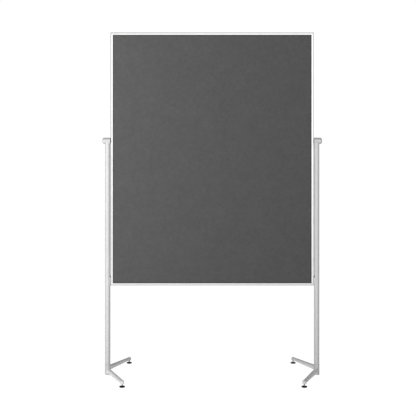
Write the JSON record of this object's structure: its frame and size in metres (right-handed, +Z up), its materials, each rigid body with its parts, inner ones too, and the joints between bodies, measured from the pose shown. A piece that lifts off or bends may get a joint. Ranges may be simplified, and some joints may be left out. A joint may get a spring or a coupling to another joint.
{
  "type": "partition wall",
  "caption": "Free-standing partition and pin board: a felt panel in a slim metal frame that turns about an axle between two posts with V-set legs and levelling feet.",
  "frame": {"origin": "on the floor, midway between the two posts and midway between the front and rear feet", "axes": "+Z up, +X to the right as seen from the front, +Y to the rear; the front felt faces -Y"},
  "size_m": [1.328, 0.573, 2.068],
  "materials": {
    "frame_aluminium": "satin",
    "stand_silver": "satin",
    "felt": "matte",
    "board_core": "matte",
    "zinc_steel": "satin",
    "bush_plastic": "matte",
    "catch_grey": "satin",
    "magnet_nickel": "gloss",
    "black_rubber": "matte"
  },
  "bodies": {
    "stand": {"pivot_bush_right": "bush_plastic", "pivot_bush_left": "bush_plastic", "head_right": "stand_silver", "head_left": "stand_silver", "head_cap_right": "stand_silver", "head_cap_left": "stand_silver", "post_right": "stand_silver", "post_left": "stand_silver", "head_set_screws": "zinc_steel", "catch_block_right": "catch_grey", "catch_block_left": "catch_grey", "catch_buffer_right": "black_rubber", "catch_buffer_left": "black_rubber", "catch_magnets": "magnet_nickel", "catch_screws": "zinc_steel", "foot_hub_right": "stand_silver", "foot_hub_left": "stand_silver", "hub_bolts": "zinc_steel", "post_plug_right": "bush_plastic", "post_plug_left": "bush_plastic", "leg_front_right": "stand_silver", "leg_front_left": "stand_silver", "leg_rear_right": "stand_silver", "leg_rear_left": "stand_silver", "leg_studs": "zinc_steel", "foot_inserts": "zinc_steel"},
    "board": {"frame_top_rail": "frame_aluminium", "frame_bottom_rail": "frame_aluminium", "frame_left_stile": "frame_aluminium", "frame_right_stile": "frame_aluminium", "corner_keys": "zinc_steel", "corner_key_screws": "zinc_steel", "board_core": "board_core", "felt_front": "felt", "felt_rear": "felt", "pivot_plate_right": "zinc_steel", "pivot_plate_left": "zinc_steel", "pivot_plate_screws": "zinc_steel", "pivot_axle_right": "zinc_steel", "pivot_axle_left": "zinc_steel", "axle_washers": "zinc_steel", "axle_lock_nuts": "zinc_steel"},
    "levelling_foot_front_right": {"foot_stud_front_right": "zinc_steel", "foot_pad_front_right": "black_rubber"},
    "levelling_foot_rear_right": {"foot_stud_rear_right": "zinc_steel", "foot_pad_rear_right": "black_rubber"},
    "levelling_foot_front_left": {"foot_stud_front_left": "zinc_steel", "foot_pad_front_left": "black_rubber"},
    "levelling_foot_rear_left": {"foot_stud_rear_left": "zinc_steel", "foot_pad_rear_left": "black_rubber"}
  },
  "joints": [
    {"name": "board_tilt", "type": "hinge", "parent": "stand", "child": "board", "pos_m": [0, 0, 1.414], "axis": [1, 0, 0], "continuous": true},
    {"name": "foot_front_right_extend", "type": "slide", "parent": "stand", "child": "levelling_foot_front_right", "axis": [0, 0, -1], "range_m": [0, 0.01]},
    {"name": "foot_rear_right_extend", "type": "slide", "parent": "stand", "child": "levelling_foot_rear_right", "axis": [0, 0, -1], "range_m": [0, 0.01]},
    {"name": "foot_front_left_extend", "type": "slide", "parent": "stand", "child": "levelling_foot_front_left", "axis": [0, 0, -1], "range_m": [0, 0.01]},
    {"name": "foot_rear_left_extend", "type": "slide", "parent": "stand", "child": "levelling_foot_rear_left", "axis": [0, 0, -1], "range_m": [0, 0.01]}
  ]
}
